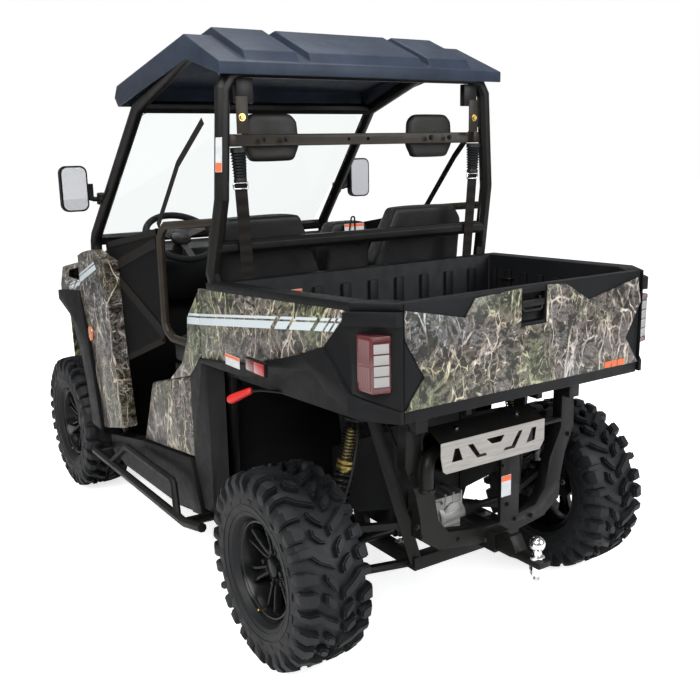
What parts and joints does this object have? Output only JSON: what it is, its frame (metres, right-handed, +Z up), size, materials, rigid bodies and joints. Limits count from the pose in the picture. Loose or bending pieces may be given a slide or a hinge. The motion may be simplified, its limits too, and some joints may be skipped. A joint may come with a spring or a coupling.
{
  "type": "side by side utility vehicle",
  "caption": "Open-cab utility vehicle with a tube cage, roof, tilting cargo bed with tailgate, hood, steering and free-rolling wheels.",
  "frame": {"origin": "on the ground below the middle of the vehicle's length and width", "axes": "+X forward, +Y to the driver's left, +Z up"},
  "size_m": [2.95, 1.566, 2.013],
  "materials": {
    "frame_black": "satin black powder coat",
    "cage_black": "satin black-bronze powder coat",
    "roof_slate": "moulded slate grey sheet",
    "clear_sheet": "clear polycarbonate",
    "camouflage": "camouflage printed moulding",
    "black_plastic": "grained black moulding",
    "lamp_clear": "clear lens over a reflector",
    "lamp_red": "red lens",
    "seat_cover": "dark vinyl cover",
    "webbing": "dark woven webbing",
    "netting": "woven net with webbing edges",
    "cast_alloy": "as cast",
    "bare_steel": "brushed sheet",
    "spring_black": "gloss black",
    "bright_chrome": "polished",
    "tyre_rubber": "matt rubber",
    "rim_black": "gloss black with machined edges"
  },
  "bodies": {
    "chassis": {"frame": "frame_black", "sill_frame": "frame_black", "rear_uprights": "frame_black", "shock_towers": "frame_black", "roll_cage_rear": "cage_black", "roll_cage_front": "cage_black", "roof": "roof_slate", "windshield": "clear_sheet", "front_side_panels": "camouflage", "fender_flares": "black_plastic", "nose_panel": "black_plastic", "headlamps": "lamp_clear", "front_guard": "cage_black", "cab_floor": "black_plastic", "dashboard": "black_plastic", "steering_column": "black_plastic", "seat_base": "black_plastic", "cab_back_panel": "black_plastic", "seat_cushions": "seat_cover", "seat_backs": "seat_cover", "headrest_bar": "cage_black", "headrests": "seat_cover", "seat_belts": "webbing", "hip_bars": "cage_black", "side_nets": "netting", "under_seat_boxes": "camouflage", "rear_columns": "camouflage", "rocker_panels": "black_plastic", "inner_panels": "black_plastic", "side_step_bars": "cage_black", "engine": "cast_alloy", "gearcases": "cast_alloy", "muffler": "bare_steel", "exhaust_shield": "bare_steel", "suspension_arms": "frame_black", "shock_absorbers": "spring_black", "front_half_shafts": "bare_steel", "rear_hub_carriers": "cast_alloy", "hitch_drawbar": "frame_black", "hitch_ball": "bright_chrome", "mirrors": "black_plastic"},
    "hood": {"hood": "camouflage"},
    "bed": {"cargo_bed": "black_plastic", "bed_side_panels": "camouflage", "bed_flares": "black_plastic", "tail_lamps": "lamp_red"},
    "tailgate": {"tailgate": "black_plastic", "tailgate_skin": "camouflage"},
    "knuckle_left": {"knuckle_left": "cast_alloy"},
    "knuckle_right": {"knuckle_right": "cast_alloy"},
    "steering_wheel": {"steering_wheel": "black_plastic"},
    "rack": {"tie_rods": "bare_steel"},
    "wheel_rear_left": {"tyre_rear_left": "tyre_rubber", "rim_rear_left": "rim_black"},
    "wheel_rear_right": {"tyre_rear_right": "tyre_rubber", "rim_rear_right": "rim_black"},
    "wheel_front_left": {"tyre_front_left": "tyre_rubber", "rim_front_left": "rim_black"},
    "wheel_front_right": {"tyre_front_right": "tyre_rubber", "rim_front_right": "rim_black"}
  },
  "joints": [
    {"name": "wheel_rear_left_roll", "type": "hinge", "parent": "chassis", "child": "wheel_rear_left", "pos_m": [-0.9525, 0.607, 0.32], "axis": [0, 1, 0], "continuous": true},
    {"name": "wheel_front_left_roll", "type": "hinge", "parent": "knuckle_left", "child": "wheel_front_left", "pos_m": [1.0025, 0.6145, 0.32], "axis": [0, 1, 0], "continuous": true},
    {"name": "wheel_rear_right_roll", "type": "hinge", "parent": "chassis", "child": "wheel_rear_right", "pos_m": [-0.9525, -0.607, 0.32], "axis": [0, 1, 0], "continuous": true},
    {"name": "wheel_front_right_roll", "type": "hinge", "parent": "knuckle_right", "child": "wheel_front_right", "pos_m": [1.0025, -0.6145, 0.32], "axis": [0, 1, 0], "continuous": true},
    {"name": "steer_left", "type": "hinge", "parent": "chassis", "child": "knuckle_left", "pos_m": [1.0025, 0.54, 0.32], "axis": [0, 0, 1], "range_deg": [-30, 30]},
    {"name": "steer_right", "type": "hinge", "parent": "chassis", "child": "knuckle_right", "pos_m": [1.0025, -0.54, 0.32], "axis": [0, 0, 1], "range_deg": [-30, 30]},
    {"name": "steering_wheel_turn", "type": "hinge", "parent": "chassis", "child": "steering_wheel", "pos_m": [0.4, 0.33, 1.24], "axis": [-0.5736, 0, 0.8192], "range_deg": [-271, 271]},
    {"name": "rack_slide", "type": "slide", "parent": "chassis", "child": "rack", "axis": [0, 1, 0], "range_m": [-0.048, 0.048]},
    {"name": "bed_tilt", "type": "hinge", "parent": "chassis", "child": "bed", "pos_m": [-1.265, 0, 0.83], "axis": [0, -1, 0], "range_deg": [0, 45]},
    {"name": "tailgate_swing", "type": "hinge", "parent": "bed", "child": "tailgate", "pos_m": [-1.385, 0, 0.88], "axis": [0, -1, 0], "range_deg": [0, 90]},
    {"name": "hood_open", "type": "hinge", "parent": "chassis", "child": "hood", "pos_m": [1.326, 0, 0.985], "axis": [0, 1, 0], "range_deg": [0, 60]}
  ],
  "couplings": [
    {"joint": "steer_right", "follows": "steer_left", "ratio": 1},
    {"joint": "steering_wheel_turn", "follows": "steer_left", "ratio": 9},
    {"joint": "rack_slide", "follows": "steer_left", "m_per_rad": -0.09}
  ]
}
